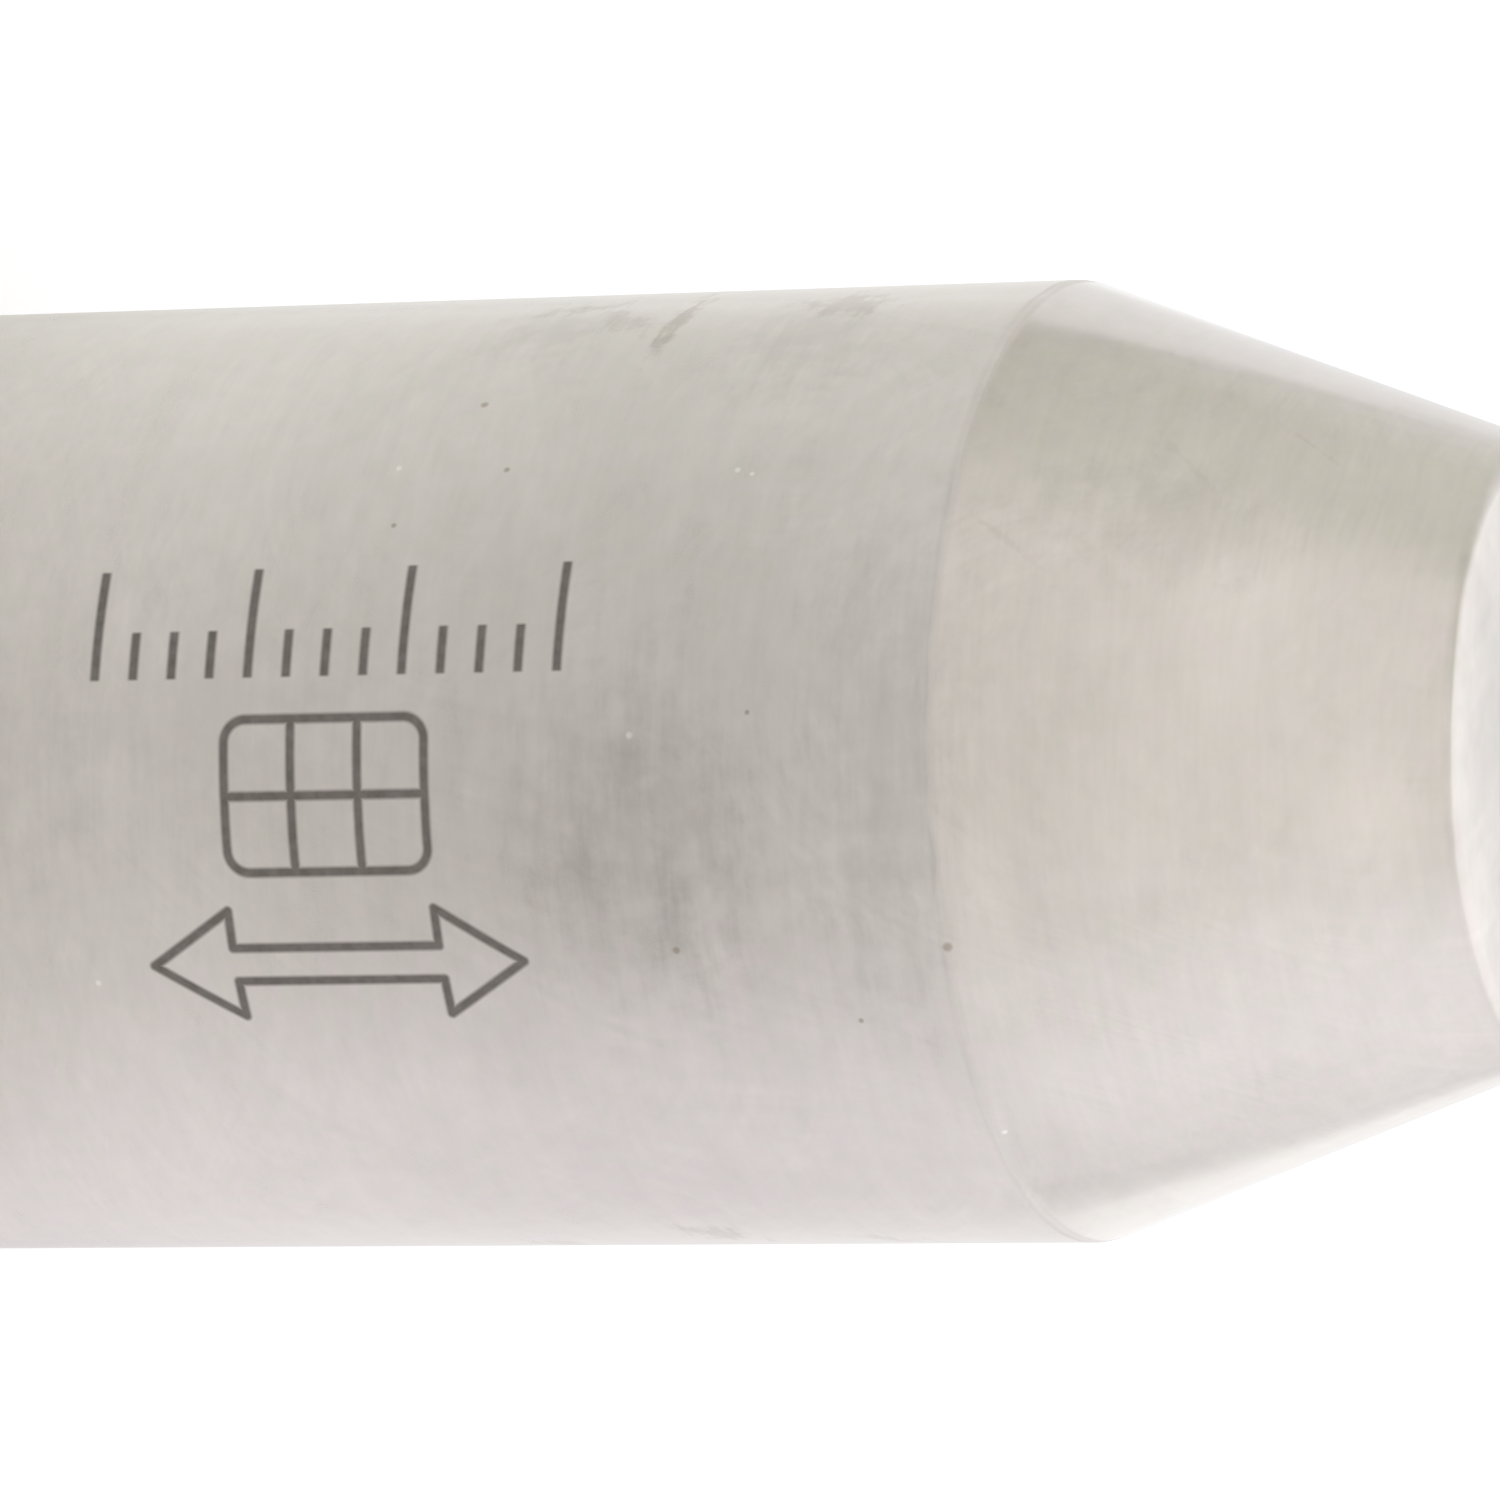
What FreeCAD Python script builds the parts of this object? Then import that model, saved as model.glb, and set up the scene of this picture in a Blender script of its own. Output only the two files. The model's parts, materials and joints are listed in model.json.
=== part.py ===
"""Shield cup of a hand plasma cutting torch.

The cup stands on its rear rim, at z = 0, with its nose up the Z axis.  It is made of
three pieces on one axis: a turned steel shell, a moulded phenolic liner that keeps the
shell apart from the live nozzle, and a brass insert moulded into the liner, which screws
onto the torch head and holds the nozzle's flange down on its seat.
Lengths are in millimetres.
"""

import FreeCAD
import Part

import math
import os

AXIS = FreeCAD.Vector(0, 0, 1)
CENTRE = FreeCAD.Vector(0, 0, 0)

# Steel shell
body_length = 38.4
cone_length = 14.7
nose_diameter = 18.84
nose_hole_diameter = 8.4
shell_wall = 0.8
front_wall = 1.6
shoulder_break = 0.1
nose_round = 0.3
edge_break = 0.2

# Phenolic liner
bond_gap = 0.05
liner_wall = 1.5
liner_setback = 0.6
liner_nose_wall = 2.2
seal_bore_length = 9.4
seal_step = 0.2
lead_in = 0.7

# Brass insert
thread_diameter = 22.0
thread_pitch = 1.5
thread_length = 10.5
insert_wall = 1.3
relief_width = 1.8
relief_depth = 0.25
insert_ledge = 1.7
seat_thickness = 2.6
seat_cone = 0.8
lock_groove_count = 1
lock_groove_width = 4.0
lock_groove_depth = 0.5
gas_hole_count = 8
gas_hole_diameter = 1.6
gas_hole_margin = 0.3

# Radii, from the thread outwards to the shell and inwards to the nozzle's hole
thread_radius = thread_diameter / 2
crest_radius = thread_radius - 0.54127 * thread_pitch
insert_radius = thread_radius + insert_wall
seal_radius = insert_radius + seal_step
liner_radius = seal_radius + liner_wall
shell_inner_radius = liner_radius + bond_gap
cup_radius = shell_inner_radius + shell_wall
chamber_radius = insert_radius - insert_ledge
gas_ring_radius = chamber_radius - gas_hole_margin - gas_hole_diameter / 2
seat_mouth_radius = gas_ring_radius - gas_hole_diameter / 2 - gas_hole_margin
seat_hole_radius = seat_mouth_radius - seat_cone
nose_radius = nose_diameter / 2
nose_hole_radius = nose_hole_diameter / 2

# Heights, and the slope of the cone
cup_length = body_length + cone_length
front_inside = cup_length - front_wall
cone_angle = math.atan2(cup_radius - nose_radius, cone_length)

insert_rear = liner_setback + seal_bore_length
relief_start = insert_rear + thread_length
seat_rear = relief_start + relief_width
insert_front = seat_rear + seat_thickness


def cone_radius(height, depth):
    """Radius, at a height, of the cone that lies a depth below the shell's outer cone."""
    return nose_radius + (cup_length - height) * math.tan(cone_angle) - depth / math.cos(cone_angle)


def shoulder_height(depth):
    """Height at which cylinder and cone meet, both a depth below the outside."""
    return body_length - depth * math.tan(cone_angle / 2)


def cone_height(radius, depth):
    """Height at which the cone a depth below the outside has a radius."""
    return cup_length - (radius + depth / math.cos(cone_angle) - nose_radius) / math.tan(cone_angle)


def turned(profile):
    """Solid of revolution about the axis from (radius, height) corners."""
    corners = [FreeCAD.Vector(radius, 0, height) for radius, height in profile]
    outline = Part.makePolygon(corners + corners[:1])
    return Part.Face(outline).revolve(CENTRE, AXIS, 360)


def ring_edges(solid, radius, height):
    """Circular edges of a turned solid at one radius and height."""
    return [
        edge
        for edge in solid.Edges
        if isinstance(edge.Curve, Part.Circle)
        and abs(edge.Curve.Radius - radius) < 1e-4
        and abs(edge.Curve.Center.z - height) < 1e-4
    ]


def outer_shell():
    """Steel cup: straight body, cone and flat nose face with the nozzle's opening."""
    shell = turned(
        [
            (cup_radius, 0),
            (cup_radius, body_length - shoulder_break),
            (cone_radius(body_length + shoulder_break, 0), body_length + shoulder_break),
            (nose_radius, cup_length),
            (nose_hole_radius, cup_length),
            (nose_hole_radius, front_inside),
            (cone_radius(front_inside, shell_wall), front_inside),
            (shell_inner_radius, shoulder_height(shell_wall)),
            (shell_inner_radius, 0),
        ]
    )
    shell = shell.makeFillet(nose_round, ring_edges(shell, nose_radius, cup_length))
    sharp = ring_edges(shell, cup_radius, 0)
    sharp += ring_edges(shell, shell_inner_radius, 0)
    sharp += ring_edges(shell, nose_hole_radius, cup_length)
    return shell.makeChamfer(edge_break, sharp)


def lock_grooves():
    """Rings cut round the insert, which the moulding of the liner fills."""
    pitch = (insert_front - insert_rear) / lock_groove_count
    rings = []
    for index in range(lock_groove_count):
        middle = insert_rear + pitch * (index + 0.5)
        low = middle - lock_groove_width / 2
        high = middle + lock_groove_width / 2
        floor_radius = insert_radius - lock_groove_depth
        rings.append(
            turned(
                [
                    (floor_radius, low),
                    (insert_radius, low),
                    (insert_radius, high),
                    (floor_radius, high),
                ]
            )
        )
    return rings


def insulating_liner():
    """Phenolic sleeve bonded into the shell: seal bore, insert pocket, nozzle chamber."""
    depth = shell_wall + bond_gap
    inner_depth = depth + liner_nose_wall
    liner = turned(
        [
            (liner_radius, liner_setback),
            (liner_radius, shoulder_height(depth)),
            (cone_radius(front_inside, depth), front_inside),
            (cone_radius(front_inside, inner_depth), front_inside),
            (chamber_radius, cone_height(chamber_radius, inner_depth)),
            (chamber_radius, insert_front),
            (insert_radius, insert_front),
            (insert_radius, insert_rear),
            (seal_radius, insert_rear),
            (seal_radius, liner_setback + lead_in),
            (seal_radius + lead_in / 2, liner_setback),
        ]
    )
    return liner.fuse(lock_grooves()).removeSplitter()


def threaded_insert():
    """Brass insert: thread bore at its crest size, relief, nozzle seat and gas holes."""
    insert = turned(
        [
            (insert_radius, insert_rear),
            (insert_radius, insert_front),
            (seat_hole_radius, insert_front),
            (seat_hole_radius, seat_rear + seat_cone),
            (seat_mouth_radius, seat_rear),
            (thread_radius + relief_depth, seat_rear),
            (thread_radius + relief_depth, relief_start),
            (crest_radius, relief_start),
            (crest_radius, insert_rear + thread_radius - crest_radius),
            (thread_radius, insert_rear),
        ]
    )
    gas_holes = []
    for index in range(gas_hole_count):
        turn = 2 * math.pi * index / gas_hole_count
        foot = FreeCAD.Vector(
            gas_ring_radius * math.cos(turn), gas_ring_radius * math.sin(turn), seat_rear - seat_thickness
        )
        gas_holes.append(Part.makeCylinder(gas_hole_diameter / 2, 3 * seat_thickness, foot, AXIS))
    return insert.cut(lock_grooves() + gas_holes).removeSplitter()


os.makedirs("parts", exist_ok=True)
for name, make in {
    "outer_shell": outer_shell,
    "insulating_liner": insulating_liner,
    "threaded_insert": threaded_insert,
}.items():
    piece = make()
    piece.exportStep(f"parts/{name}.step")
    print(f"{name}: {len(piece.Solids)} solid, valid {piece.isValid()}, {piece.Volume:.1f} mm3")
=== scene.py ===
# %% [markdown]
# # The shield cup of a plasma cutting torch
#
# This scene dresses a finished model of one small metal cup. On the torch it screws
# over the nozzle: a satin steel shell outside, a moulded liner that keeps the shell
# apart from the live parts, and a brass insert with the thread. The construction is
# settled already, so the frame comes first and every piece here is placed from it.

import json
import math

import bmesh
import bpy
from mathutils import Matrix, Vector, noise


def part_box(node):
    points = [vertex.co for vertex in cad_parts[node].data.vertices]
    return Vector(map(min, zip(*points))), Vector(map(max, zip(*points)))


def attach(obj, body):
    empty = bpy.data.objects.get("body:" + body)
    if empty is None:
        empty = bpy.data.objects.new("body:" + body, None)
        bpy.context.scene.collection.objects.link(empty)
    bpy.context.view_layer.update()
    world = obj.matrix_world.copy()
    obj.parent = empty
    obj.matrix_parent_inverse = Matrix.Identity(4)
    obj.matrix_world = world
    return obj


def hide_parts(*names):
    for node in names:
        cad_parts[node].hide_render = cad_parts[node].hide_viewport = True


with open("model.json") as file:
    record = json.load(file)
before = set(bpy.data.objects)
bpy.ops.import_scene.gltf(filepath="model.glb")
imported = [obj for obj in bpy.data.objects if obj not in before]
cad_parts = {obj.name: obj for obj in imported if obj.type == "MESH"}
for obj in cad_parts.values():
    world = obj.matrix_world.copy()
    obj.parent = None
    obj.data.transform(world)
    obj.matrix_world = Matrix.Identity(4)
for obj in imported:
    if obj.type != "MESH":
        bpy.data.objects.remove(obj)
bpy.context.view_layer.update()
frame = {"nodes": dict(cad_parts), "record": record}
print("frame nodes:", ", ".join(sorted(frame["nodes"])))

# %% [markdown]
# ## Sizes
#
# A real cup is turned, so radii and heights say everything about it. They are read from
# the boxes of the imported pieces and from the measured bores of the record, so the scene
# follows the construction. Only what those can't tell is named here as a size.

# %% Sizes from the frame, in metres
MM = 0.001
mounts = {mount["name"]: mount for mount in frame["record"]["mounts"]}


def bore_radius(name):
    return mounts[name]["dims"]["r_mm"] * MM


shell_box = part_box("outer_shell")[1]
liner_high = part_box("insulating_liner")[1]
insert_low, insert_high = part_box("threaded_insert")

cup_radius = shell_box.x
cup_length = shell_box.z
front_inside = liner_high.z
insert_radius = insert_high.x
insert_rear = insert_low.z
insert_front = insert_high.z
nose_hole_radius = bore_radius("nose_hole")
crest_radius = bore_radius("head_thread")
seat_hole_radius = bore_radius("nozzle_seat")
shell_wall = 2 * (cup_radius - mounts["rear_rim"]["pos_m"][0])

shoulder_height = 38.4 * MM
nose_radius = 9.42 * MM
cone_angle = math.atan2(cup_radius - nose_radius, cup_length - shoulder_height)
print(f"cup {2 * cup_radius / MM:.1f} mm across, {cup_length / MM:.1f} mm long")
print(f"cone half-angle {math.degrees(cone_angle):.1f} degrees, wall {shell_wall / MM:.2f} mm")

# %% [markdown]
# ## Turning on a lathe
#
# Each piece was turned or moulded round one axis. A screw modifier would do, but a
# spin in bmesh gives a plain mesh at once: the outline is drawn once as a closed loop in
# the XZ plane and carried round the Z axis. Its sharp rings are then found by radius and
# height and bevelled, as a lathe hand breaks an edge.

# %% The lathe
LATHE_STEPS = 192


def outline_loop(bm, corners):
    """A closed loop of edges through (radius, height) corners in the XZ plane."""
    points = [bm.verts.new((radius, 0, height)) for radius, height in corners]
    return points + [bm.edges.new((a, b)) for a, b in zip(points, points[1:] + points[:1])]


def lathe(corners, steps=LATHE_STEPS):
    """The outline carried once round the Z axis, as a closed skin with its faces outwards."""
    bm = bmesh.new()
    bmesh.ops.spin(
        bm, geom=outline_loop(bm, corners), cent=(0, 0, 0), axis=(0, 0, 1),
        dvec=(0, 0, 0), angle=2 * math.pi, steps=steps, use_merge=True,
    )
    bmesh.ops.remove_doubles(bm, verts=bm.verts, dist=1e-7)
    bmesh.ops.recalc_face_normals(bm, faces=bm.faces)
    return bm


def soften_ring(bm, radius, height, size, segments=3):
    """Rounds the sharp ring at one radius and height."""
    def on_ring(vert):
        return abs(vert.co.xy.length - radius) < 2e-6 and abs(vert.co.z - height) < 2e-6

    ring = [edge for edge in bm.edges if all(on_ring(vert) for vert in edge.verts)]
    bmesh.ops.bevel(
        bm, geom=ring, offset=size, affect="EDGES", segments=segments, profile=0.5, material=-1
    )
    return len(ring)


# %% From a bmesh to a piece of the object
SHARP_ANGLE = math.radians(32)


def finished_piece(bm, name, body="root"):
    """Writes the bmesh to an object at the origin that rides on a body."""
    mesh = bpy.data.meshes.new(name)
    bm.to_mesh(mesh)
    bm.free()
    mesh.shade_smooth()
    mesh.set_sharp_from_angle(angle=SHARP_ANGLE)
    piece = bpy.data.objects.new(name, mesh)
    bpy.context.scene.collection.objects.link(piece)
    if body:
        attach(piece, body)
    return piece


# %% [markdown]
# ## The steel shell
#
# The shell is what the photograph shows: a straight body, a soft shoulder, a cone and a
# flat nose face with a hole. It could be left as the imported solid, but a finer skin
# reflects evenly in a close-up and can take the small knocks of the real shoulder.

# %% The shell's outline
shoulder_round = 0.10 * MM
nose_round = 0.4 * MM
edge_break = 0.2 * MM


def cone_radius(height, depth):
    """Radius at a height of the cone that lies a depth below the outer one."""
    return nose_radius + (cup_length - height) * math.tan(cone_angle) - depth / math.cos(cone_angle)


shell_outline = [
    (cup_radius, 0),
    (cup_radius, shoulder_height),
    (nose_radius, cup_length),
    (nose_hole_radius, cup_length),
    (nose_hole_radius, front_inside),
    (cone_radius(front_inside, shell_wall), front_inside),
    (cup_radius - shell_wall, shoulder_height - shell_wall * math.tan(cone_angle / 2)),
    (cup_radius - shell_wall, 0),
]
shell = lathe(shell_outline)
soften_ring(shell, cup_radius, shoulder_height, shoulder_round, segments=5)
soften_ring(shell, nose_radius, cup_length, nose_round, segments=4)
soften_ring(shell, nose_hole_radius, cup_length, edge_break)
soften_ring(shell, cup_radius, 0, edge_break)
soften_ring(shell, cup_radius - shell_wall, 0, edge_break)
print("shell faces:", len(shell.faces))

# %% [markdown]
# ### Knocks on the shoulder, wear on the nose rim
#
# The shoulder of the real cup isn't a perfect circle: tumbling makes it wander a little,
# and where cups have rubbed on each other there are nicks. A sculpt brush would do this
# by hand. Here a noise moves the ring along the cup, and each knock has a place round
# the cup, a width and a depth. A second noise wears the nose rim inwards by a few
# hundredths of a millimetre.

# %% Push the knocks in
SHOULDER_REACH = 0.7 * MM
WANDER = 0.10 * MM
WANDER_PER_TURN = 9.0
RIM_REACH = 0.5 * MM
RIM_WEAR = 0.07 * MM
RIM_WEAR_EVEN = 0.4  # share of the wear that is the same all round
RIM_WANDER = 1.7 * WANDER_PER_TURN
KNOCKS = [  # degrees round from the front, width in degrees, along, inwards
    (4.6, 1.1, -0.10 * MM, 0.06 * MM),
    (11.0, 2.6, 0.20 * MM, 0.05 * MM),
    (17.5, 1.6, -0.08 * MM, 0.05 * MM),
    (-33.0, 3.0, 0.10 * MM, 0.04 * MM),
    (118.0, 3.5, 0.15 * MM, 0.07 * MM),
    (201.0, 4.0, -0.12 * MM, 0.06 * MM),
    (284.0, 3.0, 0.10 * MM, 0.05 * MM),
]


def degrees_round(point):
    """Angle round the cup from the front, which faces -Y, towards +X."""
    return math.degrees(math.atan2(point.x, -point.y))


def push(point):
    """How far a point near the shoulder or the nose rim moves along the cup and inwards."""
    near = max(0.0, 1 - abs(point.z - shoulder_height) / SHOULDER_REACH)
    near = near * near * (3 - 2 * near)
    circle = Vector((point.x, point.y, 0)).normalized()
    along, inwards = WANDER * noise.noise(circle * WANDER_PER_TURN), 0.0
    for place, width, knock_along, knock_in in KNOCKS:
        away = (degrees_round(point) - place + 180) % 360 - 180
        share = math.exp(-((away / width) ** 2))
        along += knock_along * share
        inwards += knock_in * share
    at_rim = max(0.0, 1 - abs(point.z - cup_length) / RIM_REACH)
    wear = RIM_WEAR * at_rim * max(0.0, RIM_WEAR_EVEN + noise.noise(circle * RIM_WANDER))
    return along * near, inwards * near + wear


outer_skin = [
    vert for vert in shell.verts
    if vert.co.xy.length > cone_radius(vert.co.z, 0) - 2 * nose_round and vert.co.z > nose_round
]
deepest = 0.0
for vert in outer_skin:
    along, inwards = push(vert.co)
    vert.co.xy *= 1 - inwards / vert.co.xy.length
    vert.co.z += along
    deepest = max(deepest, abs(along), inwards)
print("largest push:", round(deepest / MM, 3), "mm")

shell_piece = finished_piece(shell, "steel_shell")
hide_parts("outer_shell")

# %% [markdown]
# ## The brass insert
#
# The insert holds the cup on the torch. Its outline is turned like the shell's, then it
# is drilled and tapped as in the workshop: eight gas holes, and a groove cut along a
# helix from the rear into the relief behind the seat. A bump map would fake the thread,
# but it shows from below and its flanks catch light, so a Boolean cuts it for real.

# %% The insert's outline
thread_pitch = 1.5 * MM
thread_depth = 0.54127 * thread_pitch
thread_radius = crest_radius + thread_depth
thread_mount = mounts["head_thread"]
thread_end = thread_mount["pos_m"][2] + thread_mount["dims"]["length_mm"] * MM / 2
relief_depth = 0.25 * MM
relief_radius = thread_radius + relief_depth
seat_thickness = 2.6 * MM
seat_rear = insert_front - seat_thickness
seat_cone = 0.8 * MM
groove_width = 4.0 * MM
groove_depth = 0.5 * MM

groove_low = (insert_rear + insert_front - groove_width) / 2
insert_outline = [
    (insert_radius, insert_rear),
    (insert_radius, groove_low),
    (insert_radius - groove_depth, groove_low),
    (insert_radius - groove_depth, groove_low + groove_width),
    (insert_radius, groove_low + groove_width),
    (insert_radius, insert_front),
    (seat_hole_radius, insert_front),
    (seat_hole_radius, seat_rear + seat_cone),
    (seat_hole_radius + seat_cone, seat_rear),
    (relief_radius, seat_rear),
    (relief_radius, thread_end),
    (crest_radius, thread_end),
    (crest_radius, insert_rear + thread_depth),
    (thread_radius, insert_rear),
]
insert_body = finished_piece(lathe(insert_outline, steps=144), "brass_insert")

# %% [markdown]
# A groove of a metric thread is a narrow trapezoid whose sides slope at 30 degrees. The
# same spin that turns a ring cuts a helix when each step also climbs a little.

# %% The tap and the drill
TURN_STEPS = 72
tap_turns = (thread_end - insert_rear) / thread_pitch + 1.4
overshoot = 0.3 * MM


def tap_cutter(bm):
    """The groove's section carried up a helix, closed at both ends."""
    flank = math.tan(math.radians(30))
    inner = thread_pitch * 3 / 8 + overshoot * flank
    outer = thread_pitch / 16
    section = [
        (crest_radius - overshoot, -inner),
        (thread_radius, -outer),
        (thread_radius, outer),
        (crest_radius - overshoot, inner),
    ]
    start = insert_rear - 0.8 * thread_pitch
    loop = outline_loop(bm, [(radius, start + height) for radius, height in section])
    first = [item for item in loop if isinstance(item, bmesh.types.BMEdge)]
    made = bmesh.ops.spin(
        bm, geom=loop, cent=(0, 0, 0), axis=(0, 0, 1),
        dvec=(0, 0, thread_pitch / TURN_STEPS), angle=2 * math.pi * tap_turns,
        steps=round(TURN_STEPS * tap_turns), use_merge=False,
    )
    last = [item for item in made["geom_last"] if isinstance(item, bmesh.types.BMEdge)]
    bmesh.ops.contextual_create(bm, geom=first)
    bmesh.ops.contextual_create(bm, geom=last)


gas_hole_count = 8
gas_hole_radius = 0.8 * MM
gas_hole_margin = 0.3 * MM
gas_ring_radius = seat_hole_radius + seat_cone + gas_hole_margin + gas_hole_radius


def drill_cutters(bm):
    """A ring of round bars, one for each gas hole."""
    for index in range(gas_hole_count):
        turn = Matrix.Rotation(2 * math.pi * index / gas_hole_count, 4, "Z")
        place = turn @ Matrix.Translation((gas_ring_radius, 0, seat_rear + seat_thickness / 2))
        bmesh.ops.create_cone(
            bm, cap_ends=True, segments=24, radius1=gas_hole_radius, radius2=gas_hole_radius,
            depth=2 * seat_thickness, matrix=place,
        )


# %% Cut the insert
cutter_bm = bmesh.new()
tap_cutter(cutter_bm)
drill_cutters(cutter_bm)
bmesh.ops.recalc_face_normals(cutter_bm, faces=cutter_bm.faces)
cutter = finished_piece(cutter_bm, "tap_and_drill", body=None)

cut = insert_body.modifiers.new("tap and drill", "BOOLEAN")
cut.operation = "DIFFERENCE"
cut.solver = "EXACT"
cut.object = cutter
bpy.context.view_layer.update()
evaluated = insert_body.evaluated_get(bpy.context.evaluated_depsgraph_get())
cut_mesh = bpy.data.meshes.new_from_object(evaluated)
insert_body.modifiers.clear()
insert_body.data = cut_mesh
cut_mesh.name = "brass_insert"
cut_mesh.shade_smooth()
cut_mesh.set_sharp_from_angle(angle=SHARP_ANGLE)
bpy.data.objects.remove(cutter)
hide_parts("threaded_insert")
print("insert faces after tapping:", len(cut_mesh.polygons))

# %% [markdown]
# ## Shader maths as Python
#
# A finish is a formula on the place of a point: turning lines follow height, a smudge
# has a centre. Wiring Math nodes by hand hides such a formula, so one small class wraps
# a node's output, and Python's own operators add the nodes.

# %% The socket wrapper
class Wire:
    """An output of a node. Arithmetic on it adds Math nodes to the same tree."""

    def __init__(self, tree, socket):
        self.tree, self.socket = tree, socket

    def node(self, kind, settings, inputs, output=0):
        """Adds a node: its settings are set first, then its sockets get values or wires."""
        made = self.tree.nodes.new(kind)
        for name, value in settings.items():
            if name == "stops":
                for spot, colour in value:
                    stop = made.color_ramp.elements.new(spot)
                    stop.color = colour
            else:
                setattr(made, name, value)
        for key, value in inputs.items():
            if isinstance(value, Wire):
                self.tree.links.new(value.socket, made.inputs[key])
            else:
                made.inputs[key].default_value = value
        return Wire(self.tree, made.outputs[output])

    def math(self, operation, first, second=0.0):
        return self.node("ShaderNodeMath", {"operation": operation}, {0: first, 1: second})

    def __add__(self, other):
        return self.math("ADD", self, other)

    def __radd__(self, other):
        return self.math("ADD", other, self)

    def __sub__(self, other):
        return self.math("SUBTRACT", self, other)

    def __rsub__(self, other):
        return self.math("SUBTRACT", other, self)

    def __mul__(self, other):
        return self.math("MULTIPLY", self, other)

    def __rmul__(self, other):
        return self.math("MULTIPLY", other, self)

    def __truediv__(self, other):
        return self.math("DIVIDE", self, other)

    def __abs__(self):
        return self.math("ABSOLUTE", self)

    def rise(self, low, high, top=1.0):
        """0 below low, top above high, smooth between; it falls if low is above high."""
        ends = {"Value": self, "From Min": low, "From Max": high, "To Max": top}
        return self.node("ShaderNodeMapRange", {"interpolation_type": "SMOOTHSTEP"}, ends)


def least(first, *others):
    for other in others:
        first = first.math("MINIMUM", first, other)
    return first


def most(first, *others):
    for other in others:
        first = first.math("MAXIMUM", first, other)
    return first


def length(across, along):
    squares = across * across + along * along
    return squares.math("SQRT", squares)


# %% [markdown]
# Every finish starts the same way: a node tree, its shader, and the point's place in
# millimetres. Object coordinates are used, because each piece lies at the origin and its
# place is in its mesh, so a pattern never slides.

# %% A finish and its coordinates
class Finish:
    """A node tree under construction, with the point's place on the cup in millimetres."""

    def __init__(self, owner, shader="BSDF_PRINCIPLED", coordinates="Object"):
        owner.use_nodes = True
        self.owner = owner
        self.shader = next(node for node in owner.node_tree.nodes if node.type == shader)
        self.wire = Wire(owner.node_tree, None)
        point = self.wire.node("ShaderNodeTexCoord", {}, {}, output=coordinates)
        self.place = self.vector("SCALE", point, Scale=1 / MM)
        split = self.wire.node("ShaderNodeSeparateXYZ", {}, {0: self.place})
        self.x, self.y, self.z = (Wire(split.tree, out) for out in split.socket.node.outputs)
        self.radius = length(self.x, self.y)
        self.angle = self.wire.math("ARCTAN2", self.x, 0.0 - self.y)
        self.unrolled = self.join(self.angle * (cup_radius / MM), self.z, 0.0)

    def vector(self, operation, first, second=None, third=None, output=0, **named):
        inputs = {0: first, 1: second, 2: third, **named}
        inputs = {key: value for key, value in inputs.items() if value is not None}
        return self.wire.node("ShaderNodeVectorMath", {"operation": operation}, inputs, output)

    def join(self, x, y, z):
        return self.wire.node("ShaderNodeCombineXYZ", {}, {0: x, 1: y, 2: z})

    def noise(self, vector, scale, detail=2.0, roughness=0.5):
        """A noise of the place; with a pair (vector, w) it is one of four dimensions."""
        settings, sockets = {}, {"Scale": scale, "Detail": detail, "Roughness": roughness}
        if isinstance(vector, tuple):
            vector, sockets["W"] = vector
            settings = {"noise_dimensions": "4D"}
        return self.wire.node("ShaderNodeTexNoise", settings, {"Vector": vector, **sockets})

    def mix(self, factor, first, second, blend="MIX"):
        """A colour between two colours, or one blended on the other."""
        settings = {"data_type": "RGBA", "blend_type": blend}
        return self.wire.node("ShaderNodeMix", settings, {0: factor, 6: first, 7: second}, output=2)

    def shade(self, colour, factor):
        """The colour made lighter or darker by a factor near 1."""
        return self.mix(1.0, colour, self.join(factor, factor, factor), blend="MULTIPLY")

    def bump(self, height, strength, distance):
        sockets = {"Strength": strength, "Distance": distance, "Height": height}
        return self.wire.node("ShaderNodeBump", {}, sockets)

    def drive(self, **sockets):
        """Links wires to the shader, or sets a plain value on its socket."""
        for name, value in sockets.items():
            socket = self.shader.inputs[name.replace("_", " ")]
            if isinstance(value, Wire):
                self.wire.tree.links.new(value.socket, socket)
            else:
                socket.default_value = value


def rgb(red, green, blue):
    return (red, green, blue, 1.0)


def grey(tone):
    return rgb(tone, tone, tone)


# %% [markdown]
# ## The satin steel
#
# The real shell was turned, then tumbled with stones and handled. So there are layers of
# marks: streaks that run round with the tool, arcs that the stones drew, and soft clouds
# where the tumbling was lighter, some greener and some pinker. All are faint, because
# satin steel lives by what it reflects.

# %% Marks left by making
def streaks(finish, per_mm, stretch=0.12):
    """Streaks that run round the cup: a noise pulled long on its circles, about 0."""
    pulled = finish.join(finish.x * stretch, finish.y * stretch, finish.z)
    return finish.noise(pulled, scale=per_mm, roughness=0.6) - 0.5


def bent_place(finish):
    """The place, pushed aside by a slow noise, so that straight sheets become curved."""
    slow = finish.vector("SCALE", finish.place, Scale=0.055)
    sockets = {"Vector": slow, "Scale": 1.0, "Detail": 0.0}
    bend = finish.wire.node("ShaderNodeTexNoise", {}, sockets, output="Color")
    return finish.vector("MULTIPLY_ADD", bend, (24.0, 24.0, 24.0), finish.place)


def stone_arcs(finish, bent, normal):
    """Long curved lines, about 0: a noise pulled out in sheets that lie across a normal."""
    facing = finish.vector("DOT_PRODUCT", bent, normal, output="Value")
    sheet = finish.vector("SCALE", bent, Scale=0.10)
    return finish.noise((sheet, facing * 2.2), scale=1.0, roughness=0.65) - 0.5


def on_skin(degrees, height):
    """A place on the unrolled skin of the cup, in millimetres round and along."""
    return (math.radians(degrees) * cup_radius / MM, height, 0.0)


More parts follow.
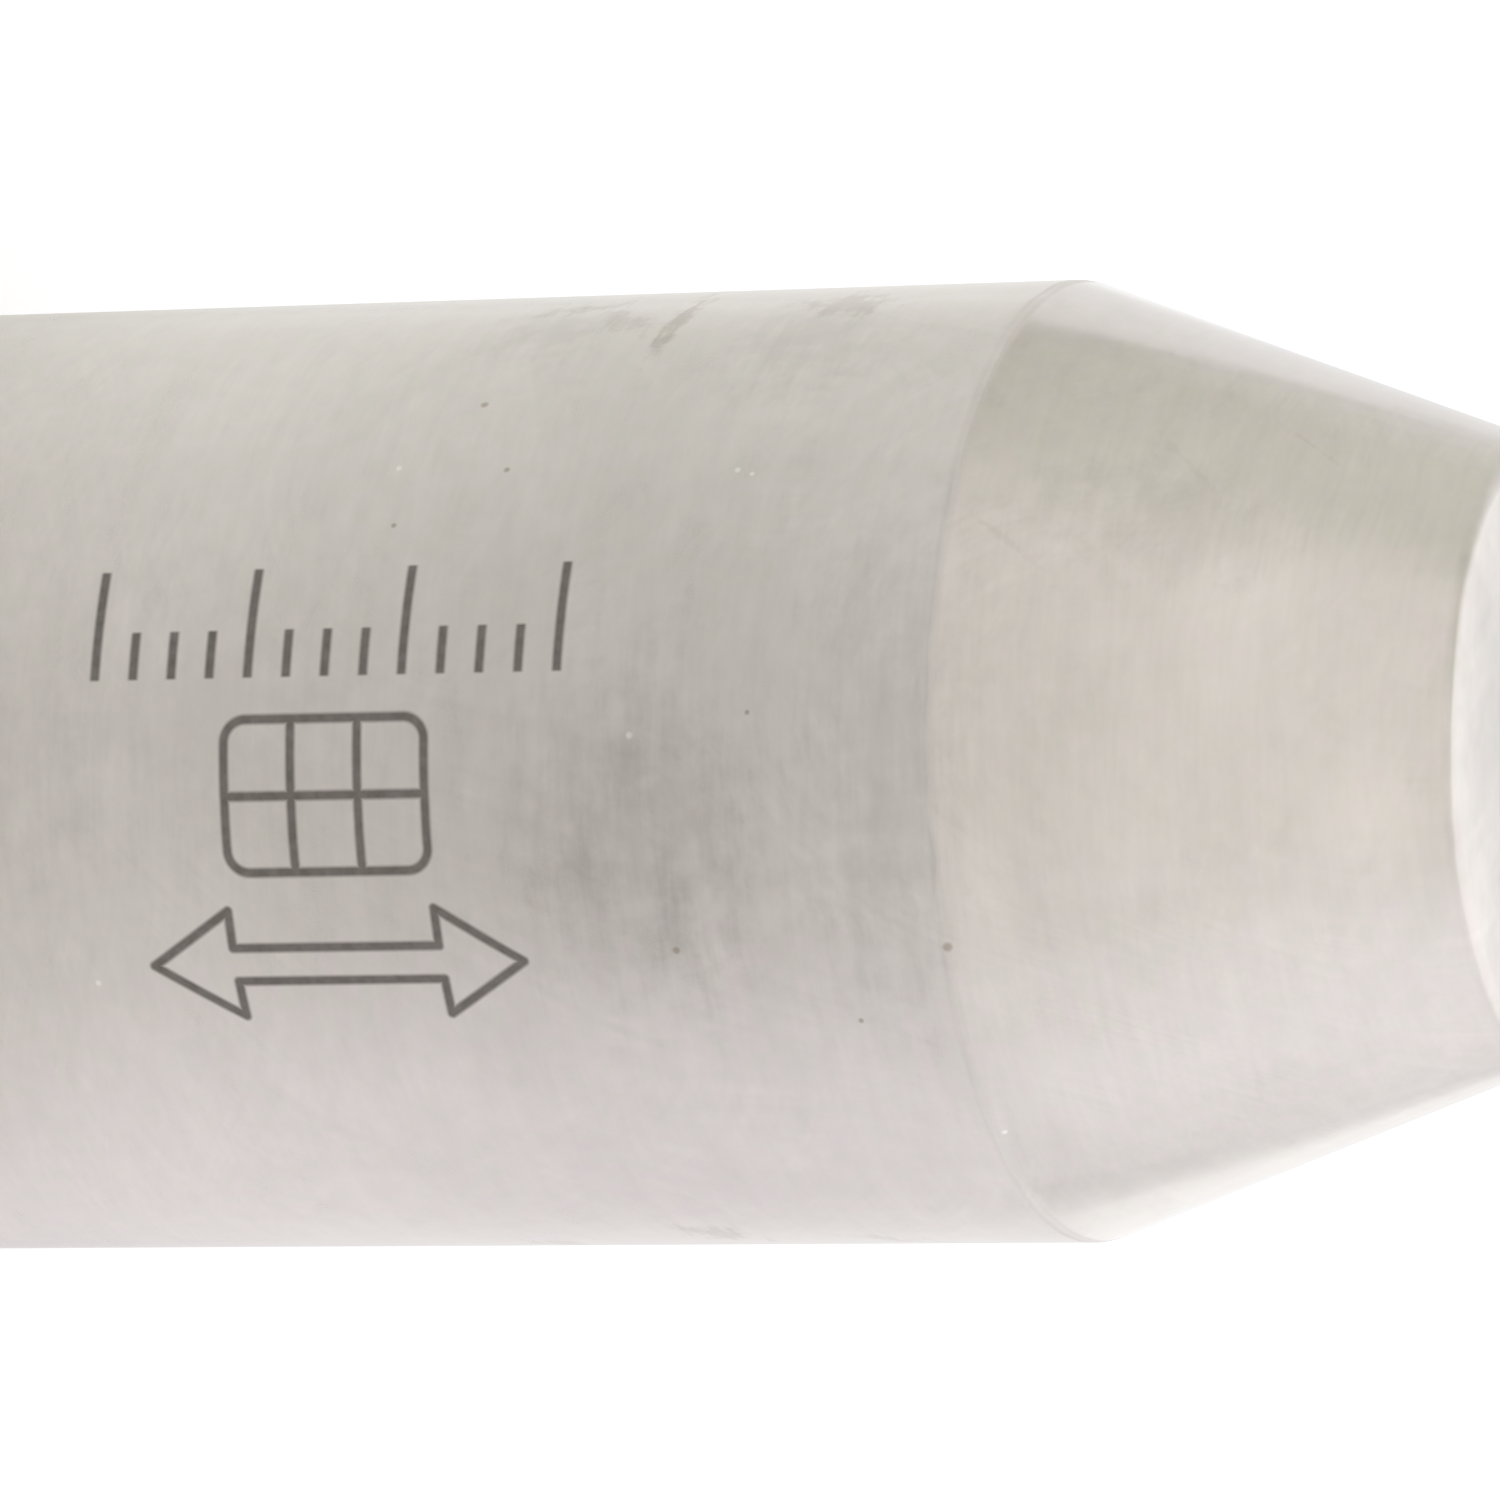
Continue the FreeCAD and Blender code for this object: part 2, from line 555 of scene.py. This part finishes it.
def from_spot(finish, degrees, height):
    """Distances round and along the cup from a spot, in millimetres."""
    away = finish.vector("SUBTRACT", finish.unrolled, on_skin(degrees, height))
    split = finish.wire.node("ShaderNodeSeparateXYZ", {}, {0: away}).socket.node.outputs
    return Wire(away.tree, split[0]), Wire(away.tree, split[1])


def swirl(finish, degrees, height, reach):
    """Arcs round one spot, about 0, which fade at the reach."""
    offset = finish.vector("SUBTRACT", finish.unrolled, on_skin(degrees, height))
    away = finish.vector("LENGTH", offset, output="Value")
    bearing = finish.vector("NORMALIZE", offset)
    ringed = finish.vector("ADD", bearing, finish.join(0.0, 0.0, away * 2.2))
    lines = finish.noise(ringed, scale=1.0, roughness=0.65) - 0.5
    return lines * away.rise(reach, reach * 0.6) * away.rise(0.5, 2.5)


def clouds(finish, per_mm, detail=3.0):
    """Soft patches, about 0."""
    return finish.noise(finish.place, scale=per_mm, detail=detail, roughness=0.6) - 0.5


# %% Where the handling marks and the painted sheen patches are
DARK_SPECKS = [  # degrees round, height in mm, radius in mm
    (-49.4, 22.2, 0.13),
    (-30.8, 20.4, 0.09),
    (-38.4, 23.7, 0.10),
    (21.6, 38.5, 0.15),
    (21.5, 29.8, 0.12),
    (-6.5, 32.6, 0.08),
    (31.0, 35.3, 0.09),
    (152.0, 14.0, 0.13),
    (-155.0, 31.0, 0.10),
]
PALE_SPECKS = [
    (-39.1, 20.1, 0.10),
    (-37.4, 31.3, 0.10),
    (-36.8, 31.8, 0.08),
    (-4.1, 28.8, 0.11),
    (24.7, 10.6, 0.10),
    (49.0, 38.7, 0.09),
    (131.0, 22.0, 0.10),
    (-120.0, 9.0, 0.09),
]
SMUDGES = [  # degrees round, height in mm, reach round and along in mm, depth
    (-1.0, 28.6, 2.0, 1.2, 0.14),
    (17.5, 29.8, 2.6, 0.9, 0.20),
    (11.0, 27.2, 2.2, 1.4, 0.12),
    (7.0, 28.6, 7.2, 5.2, 0.15),
    (9.4, 31.8, 3.0, 1.6, 0.06),
    (-2.0, 36.8, 9.0, 3.6, 0.11),
    (20.0, 36.0, 5.0, 3.0, 0.06),
    (-34.0, 44.5, 3.5, 5.0, 0.12),
    (-9.0, 14.0, 6.0, 8.0, 0.06),
    (2.0, 8.0, 5.0, 5.0, 0.06),
    (-68.0, 23.0, 3.4, 3.0, 0.12),
    (-64.0, 32.0, 5.0, 3.4, 0.12),
    (140.0, 20.0, 8.0, 6.0, 0.14),
    (110.0, 30.0, 6.0, 4.0, 0.12),
    (-128.0, 18.0, 7.0, 5.0, 0.12),
]
# Painted sheen: lighter patches on the cone, mostly at its front toward the nose, standing in for
# brighter reflections.
PAINTED_SHEEN_PATCHES = [  # degrees round, height in mm, reach round and along in mm, rise
    (9.0, 50.8, 4.0, 2.6, 0.10),
    (15.0, 39.6, 3.5, 1.4, 0.10),
    (46.0, 41.0, 4.0, 2.0, 0.05),
    (-24.0, 46.5, 6.0, 3.0, 0.04),
]
SWIRLS = [  # degrees round, height in mm, reach in mm
    (6.0, 28.3, 9.5),
    (-44.0, 33.0, 7.0),
    (138.0, 24.0, 9.0),
]
SCUFFS = [  # from and to: degrees round and height in mm; half width in mm, depth
    ((-82.0, 27.0), (-59.0, 26.9), 0.20, 0.34),
    ((-79.0, 24.7), (-71.0, 22.6), 0.22, 0.20),
    ((-77.0, 23.4), (-72.0, 22.0), 0.20, 0.16),
    ((-74.0, 24.0), (-64.0, 26.2), 0.30, 0.14),
    ((-77.0, 31.0), (-69.0, 33.4), 0.60, 0.20),
    ((-31.5, 38.9), (-26.0, 40.9), 0.08, 0.08),
    ((-60.0, 46.4), (-51.0, 49.4), 0.08, 0.07),
    ((-50.0, 43.6), (-40.0, 45.9), 0.08, 0.05),
    ((79.0, 20.6), (86.0, 22.0), 0.40, 0.16),
    ((71.0, 26.2), (81.0, 27.5), 0.50, 0.22),
    ((77.0, 31.4), (83.0, 33.4), 0.30, 0.18),
    ((120.0, 33.0), (129.0, 35.6), 0.12, 0.12),
    ((-170.0, 12.0), (-162.0, 9.6), 0.12, 0.12),
]


# %% Draw the handling marks, the painted shoulder shade and the painted sheen
def mark_distance(finish, degrees, height, half_long, half_wide, turn=0.0):
    """Distance from the middle of a turned oval, counted so that its edge is at 1."""
    place = {
        "Vector": finish.unrolled, "Location": on_skin(degrees, height),
        "Rotation": (0.0, 0.0, turn), "Scale": (half_long, half_wide, 1.0),
    }
    centred = finish.wire.node("ShaderNodeMapping", {"vector_type": "TEXTURE"}, place)
    return finish.vector("LENGTH", centred, output="Value")


def specks(finish, places):
    """1 in each speck and 0 elsewhere."""
    found = []
    for degrees, height, size in places:
        away = finish.vector("DISTANCE", finish.unrolled, on_skin(degrees, height), output="Value")
        found.append(away.rise(size * 1.4, size * 0.4))
    return most(*found)


def smudges_and_sheen(finish, cloudy, places):
    """How strong the listed ovals are, with ragged edges: smudges in one list, painted sheen
    patches in the other.
    """
    ragged = cloudy * 1.2
    found = []
    for degrees, height, reach_round, reach_along, depth in places:
        away = mark_distance(finish, degrees, height, reach_round, reach_along)
        found.append((away + ragged).rise(1.0, 0.0, top=depth))
    return sum(found)


def painted_shoulder_shade(finish):
    """Painted shade: how much darker the front of the cone is made next to the shoulder, standing
    in for its darker reflection there.
    """
    return mark_distance(finish, 4.0, shoulder_height / MM, 24.0, 8.5).rise(1.0, 0.0, top=0.11)


def scuffs(finish, cloudy):
    """Scratches with a worn, broken line."""
    ragged = cloudy * 2.0
    found = []
    for start, end, half_width, depth in SCUFFS:
        run_round = math.radians(end[0] - start[0]) * cup_radius / MM
        run_along = end[1] - start[1]
        middle = ((start[0] + end[0]) / 2, (start[1] + end[1]) / 2)
        half_long = math.hypot(run_round, run_along) * 0.6
        turn = math.atan2(run_along, run_round)
        away = mark_distance(finish, *middle, half_long, half_width * 2.2, turn)
        found.append((away + ragged).rise(1.0, 0.2, top=depth))
    return sum(found)


# %% [markdown]
# ### The etched mark
#
# Laser etching darkens steel without depth: brown-grey lines a third of a millimetre
# wide with soft sides. The mark is plain: a scale of strokes, a blank ruled box and an
# arrow that shows the way the cup turns. Each is a distance formula, because a formula
# stays sharp at any zoom where a painted map would blur.

# %% Strokes, box and arrow
LINE_HALF = 0.15
SCALE_CENTRE = (-18.6, 18.75)  # degrees round, height in mm
SCALE_PITCH, SCALE_STROKES = 1.27, 13
SHORT_STROKE, LONG_STROKE = 0.75, 1.75
BOX_CENTRE, BOX_HALF, BOX_CORNER = (2.2, 18.8), (2.35, 3.3), 0.7
ARROW_CENTRE = (22.6, 18.7)
SHAFT_HALF, HEAD_HALF, HEAD_START, ARROW_TIP = 0.55, 1.75, 3.4, 6.1


def line_at(distance):
    """1 on a line, falling softly to 0 beside it."""
    return abs(distance).rise(LINE_HALF + 0.08, LINE_HALF - 0.08)


def scale_of_strokes(finish):
    across, along = from_spot(finish, *SCALE_CENTRE)
    step = along / SCALE_PITCH + SCALE_STROKES / 2
    nearest = finish.wire.math("FLOOR", step)
    beside = (step - nearest - 0.5) * SCALE_PITCH
    every_fourth = finish.wire.math("FLOORED_MODULO", nearest, 4.0).rise(0.6, 0.4)
    reach = every_fourth * (LONG_STROKE - SHORT_STROKE) * 2 + SHORT_STROKE * 2
    from_foot = LONG_STROKE - across
    tall_enough = (reach - from_foot).rise(-0.06, 0.06) * from_foot.rise(-0.06, 0.06)
    half_scale = SCALE_PITCH * SCALE_STROKES / 2
    inside = abs(along).rise(half_scale, half_scale - 0.05)
    return line_at(beside) * tall_enough * inside


def ruled_box(finish):
    across, along = from_spot(finish, *BOX_CENTRE)
    half_round, half_along = BOX_HALF
    over_round = most(abs(across) - (half_round - BOX_CORNER), 0.0)
    over_along = most(abs(along) - (half_along - BOX_CORNER), 0.0)
    rim = line_at(length(over_round, over_along) - BOX_CORNER)
    within = abs(across).rise(half_round, half_round - 0.1)
    within = within * abs(along).rise(half_along, half_along - 0.1)
    rules = most(line_at(across), line_at(abs(along) - half_along / 3))
    return most(rim, rules * within)


def distance_to_stretch(finish, across, along, start, end):
    """Distance from a point to a straight stretch between two (across, along) points."""
    run = (end[0] - start[0], end[1] - start[1])
    squared = run[0] ** 2 + run[1] ** 2
    share = ((across - start[0]) * run[0] + (along - start[1]) * run[1]) / squared
    held = finish.wire.node("ShaderNodeClamp", {}, {0: share})
    return length(across - start[0] - held * run[0], along - start[1] - held * run[1])


def double_arrow(finish):
    """The outline of an arrow with two heads: folded on both its axes it is three stretches."""
    across, along = (abs(value) for value in from_spot(finish, *ARROW_CENTRE))
    corners = [
        (SHAFT_HALF, 0.0), (SHAFT_HALF, HEAD_START), (HEAD_HALF, HEAD_START), (0.0, ARROW_TIP),
    ]
    sides = [distance_to_stretch(finish, across, along, a, b) for a, b in zip(corners, corners[1:])]
    return line_at(least(*sides))


def etched_mark(finish):
    mark = most(scale_of_strokes(finish), ruled_box(finish), double_arrow(finish))
    front = finish.y.rise(0.0, -1.0)
    return mark * front


# %% Mix the steel
STEEL = rgb(0.770, 0.730, 0.700)
STEEL_GREEN = rgb(0.760, 0.730, 0.684)
STEEL_PINK = rgb(0.776, 0.724, 0.701)
SMUDGE_TINT = rgb(0.30, 0.27, 0.26)
BROWN = rgb(0.26, 0.20, 0.13)
ETCH = rgb(0.105, 0.088, 0.070)
BRIGHT = rgb(0.95, 0.94, 0.92)
BODY_ROUGHNESS, CONE_ROUGHNESS, RIM_ROUGHNESS = 0.29, 0.13, 0.26


def satin_steel():
    finish = Finish(bpy.data.materials.new("satin_steel"))
    patches = clouds(finish, 0.23)
    blotches = clouds(finish, 1.1)
    rounds = streaks(finish, 1.3) + streaks(finish, 5.0) * 0.6
    bent = bent_place(finish)
    arcs = stone_arcs(finish, bent, (0.30, 0.20, 0.93))
    arcs = arcs + stone_arcs(finish, bent, (0.75, 0.10, -0.65))
    for degrees, height, reach in SWIRLS:
        arcs = arcs + swirl(finish, degrees, height, reach)
    arcs = arcs * (0.25 + clouds(finish, 0.5).rise(-0.10, 0.2) * 0.9)
    cone = finish.z.rise(shoulder_height / MM - 0.2, shoulder_height / MM)
    rim = finish.z.rise(cup_length / MM - 0.45, cup_length / MM - 0.25)
    edge = abs(finish.z - shoulder_height / MM).rise(0.30, 0.12)

    colour = finish.mix(clouds(finish, 1.2).rise(-0.14, 0.14), STEEL_GREEN, STEEL_PINK)
    colour = finish.mix(patches.rise(-0.12, 0.12) * 0.5, colour, STEEL)
    grain = patches * 0.12 + blotches * 0.09 + rounds * 0.09 + arcs * 0.12
    # Painted shade and painted highlight: the cone's front is darkened next to the shoulder and
    # lightened in the sheen patches, in place of the reflections there.
    grain = grain - painted_shoulder_shade(finish) * cone + smudges_and_sheen(finish, blotches, PAINTED_SHEEN_PATCHES)
    grain = grain + rim * (patches * 0.4 - 0.03)
    colour = finish.shade(colour, 1.0 + grain)
    colour = finish.mix(smudges_and_sheen(finish, blotches + rounds * 0.6, SMUDGES), colour, SMUDGE_TINT)
    colour = finish.mix(scuffs(finish, blotches + rounds), colour, BROWN)
    colour = finish.mix(specks(finish, DARK_SPECKS) * 0.5, colour, BROWN)
    colour = finish.mix(specks(finish, PALE_SPECKS) * 0.8, colour, BRIGHT)
    mark = etched_mark(finish)
    burn = finish.noise(finish.place, scale=3.0, detail=2.0)
    colour = finish.mix(mark * (0.74 + burn * 0.22), colour, ETCH)

    smooth = BODY_ROUGHNESS - cone * (BODY_ROUGHNESS - CONE_ROUGHNESS)
    smooth = smooth + rim * (RIM_ROUGHNESS - CONE_ROUGHNESS) + edge * 0.22 + arcs * 0.05
    roughness = smooth + patches * 0.06 + rounds * 0.05 + mark * 0.25
    height = rounds * 0.8 + patches * 1.2
    finish.drive(
        Base_Color=colour, Metallic=1.0 - mark * 0.7, Roughness=roughness,
        Normal=finish.bump(height, strength=0.3, distance=0.003 * MM),
    )
    return finish.owner


shell_piece.data.materials.append(satin_steel())
print("steel nodes:", len(shell_piece.data.materials[0].node_tree.nodes))

# %% [markdown]
# ## The phenolic liner
#
# The liner is moulded from a brown resin with short glass fibres. It could be painted
# one brown, but real mouldings show flow clouds, pale fibre flecks on the surface and a
# dull skin with faint turning marks in the machined bores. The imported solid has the
# right shape, so it stays and only gets this finish.

# %% Mix the phenolic
PHENOLIC_DARK = rgb(0.090, 0.042, 0.022)
PHENOLIC_PALE = rgb(0.210, 0.110, 0.058)
FIBRE = rgb(0.36, 0.24, 0.15)


def phenolic():
    finish = Finish(bpy.data.materials.new("moulded_phenolic"))
    drawn_out = finish.join(finish.x, finish.y, finish.z * 0.35)
    flow = finish.noise(drawn_out, scale=0.35, detail=4.0, roughness=0.6)
    grain = clouds(finish, 6.0)
    rounds = streaks(finish, 4.0)
    flecks = stone_arcs(finish, bent_place(finish), (0.6, 0.5, 0.6)).rise(0.12, 0.20)
    colour = finish.mix(flow.rise(0.30, 0.70), PHENOLIC_DARK, PHENOLIC_PALE)
    colour = finish.mix(flecks * 0.4, colour, FIBRE)
    finish.drive(
        Base_Color=colour, Roughness=0.46 + grain * 0.25 + rounds * 0.10,
        Normal=finish.bump(grain + rounds, strength=0.4, distance=0.01 * MM),
    )
    return finish.owner


liner = frame["nodes"]["insulating_liner"]
liner_finish = phenolic()
for liner_slot in liner.material_slots:
    liner_slot.material = liner_finish

# %% [markdown]
# ## The brass
#
# Free-cutting brass comes off the tool bright, with fine rings, and dulls to brown in
# the corners where fingers and gas reach. The rings give the turned look, and a slow
# noise lays the tarnish.

# %% Mix the brass
BRASS_BRIGHT = rgb(0.80, 0.60, 0.29)
BRASS_DULL = rgb(0.52, 0.35, 0.15)


def turned_brass():
    finish = Finish(bpy.data.materials.new("turned_brass"))
    rounds = streaks(finish, 3.0, stretch=0.03) + streaks(finish, 9.0, stretch=0.03)
    tarnish = clouds(finish, 0.5, detail=4.0)
    colour = finish.mix(tarnish.rise(-0.12, 0.18), BRASS_BRIGHT, BRASS_DULL)
    finish.drive(
        Base_Color=colour, Metallic=1.0, Roughness=0.32 + tarnish * 0.16 + rounds * 0.06,
        Normal=finish.bump(rounds, strength=0.4, distance=0.004 * MM),
    )
    return finish.owner


insert_body.data.materials.clear()
insert_body.data.materials.append(turned_brass())

# %% [markdown]
# ## The camera
#
# The photograph is a long-lens close-up from 21 degrees above the rear end's plane, and
# turned on its side, so that the standing cup lies across the picture with its nose to
# the right. Both ends run out of the frame. The camera is placed from the shoulder's
# centre, which is the part of the cup that the picture pins down best.

# %% Place the camera
LENS = 322.0
LOOK_DOWN = math.radians(21.24)
ROLL = math.radians(88.88)
DISTANCE = 27.875 * cup_radius
SHOULDER_RIGHT = 0.7200 * cup_radius  # of the picture's middle
SHOULDER_DOWN = 0.0229 * cup_radius

turned_camera = Matrix.Rotation(math.pi / 2 - LOOK_DOWN, 4, "X") @ Matrix.Rotation(ROLL, 4, "Z")
shoulder_centre = Vector((0, 0, shoulder_height))
offset = turned_camera @ Vector((-SHOULDER_RIGHT, SHOULDER_DOWN, DISTANCE))
camera_data = bpy.data.cameras.new("camera")
camera_data.lens = LENS
camera_data.clip_start, camera_data.clip_end = 0.01, 20.0
camera = bpy.data.objects.new("camera", camera_data)
camera.matrix_world = Matrix.Translation(shoulder_centre + offset) @ turned_camera
bpy.context.scene.collection.objects.link(camera)
bpy.context.scene.camera = camera
print("camera stands at", [round(value, 4) for value in camera.location])

# %% [markdown]
# ## Floor and light
#
# Metal shows what is round it, so the surroundings are half of the finish. The cup
# stands on a white table in a light tent, and the camera sees both as plain white.
# Mirrored rays see the tones of a tent instead: darkest on the camera's side, which draws
# the darker middle of the body, dimmer and warmer on the left, and brightest on the right
# and behind. Light Path tells the rays apart, so the tones change what the metal mirrors
# and add no diffuse light. The table keeps the cup's shadow, because its own colour
# stays under what is added.

# %% The tent by direction
def tent(finish, front, left, right, back, left_from=0.0, left_to=120.0):
    """A colour by the direction round the cup: the front is -Y and the left is -X."""
    degrees = finish.angle * (180 / math.pi)
    tone = finish.mix((0.0 - degrees).rise(left_from, left_to), front, left)
    tone = finish.mix(degrees.rise(10.0, 95.0), tone, right)
    return finish.mix(abs(degrees).rise(110.0, 170.0), tone, back)


def for_rays(finish, *names):
    """1 for rays of the named kinds, else 0."""
    path = finish.wire.node("ShaderNodeLightPath", {}, {}).socket.node.outputs
    return most(*(Wire(finish.wire.tree, path[name]) for name in names))


# %% The table
FLOOR_SIDE = 12.0
FLOOR_COLOUR = grey(0.60)
WHITE_LIFT = grey(0.55)  # what the camera sees more of than the table reflects
CLOSE_BY = (75.0, 25.0)  # mm from the cup's axis, as are the next two
NEAR_TO_MIDDLE = (110.0, 190.0)
MIDDLE_TO_FAR = (720.0, 1080.0)
FAR_SOONER_ON_THE_RIGHT = 400.0


def white_table():
    finish = Finish(bpy.data.materials.new("white_table"))
    close = finish.radius.rise(*CLOSE_BY)
    front = finish.mix(close, rgb(0.03, 0.02, 0.0), rgb(0.20, 0.19, 0.17))
    left = finish.mix(close, rgb(0.22, 0.23, 0.19), rgb(0.37, 0.38, 0.345))
    right = finish.mix(close, rgb(0.32, 0.298, 0.330), rgb(0.42, 0.40, 0.425))
    near = tent(finish, front, left, right, grey(0.55))
    right_side = (finish.x / finish.radius).rise(0.0, 0.5)
    behind = finish.mix(right_side, grey(0.37), grey(0.58))
    middle = tent(finish, rgb(0.30, 0.30, 0.28), rgb(0.30, 0.29, 0.27), grey(0.48), behind)
    far = tent(
        finish, rgb(0.25, 0.25, 0.24), rgb(0.05, 0.05, 0.00), rgb(0.33, 0.32, 0.33), grey(0.42)
    )
    mirrored = finish.mix(finish.radius.rise(*NEAR_TO_MIDDLE), near, middle)
    reach = finish.radius + right_side * FAR_SOONER_ON_THE_RIGHT
    mirrored = finish.mix(reach.rise(*MIDDLE_TO_FAR), mirrored, far)
    added = finish.mix(for_rays(finish, "Is Glossy Ray"), grey(0.0), mirrored)
    seen = for_rays(finish, "Is Camera Ray", "Is Transmission Ray")
    finish.drive(
        Base_Color=FLOOR_COLOUR, Roughness=0.9, Specular_IOR_Level=0.0,
        Emission_Color=finish.mix(seen, added, WHITE_LIFT), Emission_Strength=1.0,
    )
    return finish.owner


floor_bm = bmesh.new()
bmesh.ops.create_grid(floor_bm, x_segments=1, y_segments=1, size=FLOOR_SIDE / 2)
floor = finished_piece(floor_bm, "table", body=None)
floor.data.materials.append(white_table())

# %% The room
ROOM_LIGHT = 0.85  # what the room gives the cup, where 1 is the white that the camera sees
WALL_FOOT = 0.92  # the walls are a little dimmer beside the table
world = bpy.data.worlds.new("light_tent")
bpy.context.scene.world = world
room = Finish(world, "BACKGROUND", "Generated")
walls = tent(
    room, rgb(0.84, 0.82, 0.785), rgb(0.71, 0.71, 0.645), rgb(1.0, 0.985, 1.0), grey(1.0),
    left_from=54.0, left_to=90.0,
)
foot = (room.z * MM).rise(0.0, 0.22) * (1 - WALL_FOOT) + WALL_FOOT
walls = room.shade(walls, foot)
seen_at_all = for_rays(room, "Is Camera Ray", "Is Transmission Ray", "Is Glossy Ray")
room.drive(
    Color=room.mix(for_rays(room, "Is Glossy Ray"), grey(1.0), walls),
    Strength=seen_at_all * (1 - ROOM_LIGHT) + ROOM_LIGHT,
)

# %% The lamp
LAMP_PLACE = Vector((0.20, 0.50, 0.90))
LAMP_AIM = Vector((0, 0, 0.025))
lamp_data = bpy.data.lights.new("key_behind", "AREA")
lamp_data.size = 1.3
lamp_data.energy = 1.0
lamp = bpy.data.objects.new("key_behind", lamp_data)
lamp.location = LAMP_PLACE
lamp.rotation_euler = (LAMP_AIM - LAMP_PLACE).to_track_quat("-Z", "Y").to_euler()
bpy.context.scene.collection.objects.link(lamp)

bpy.context.scene.view_settings.view_transform = "Standard"
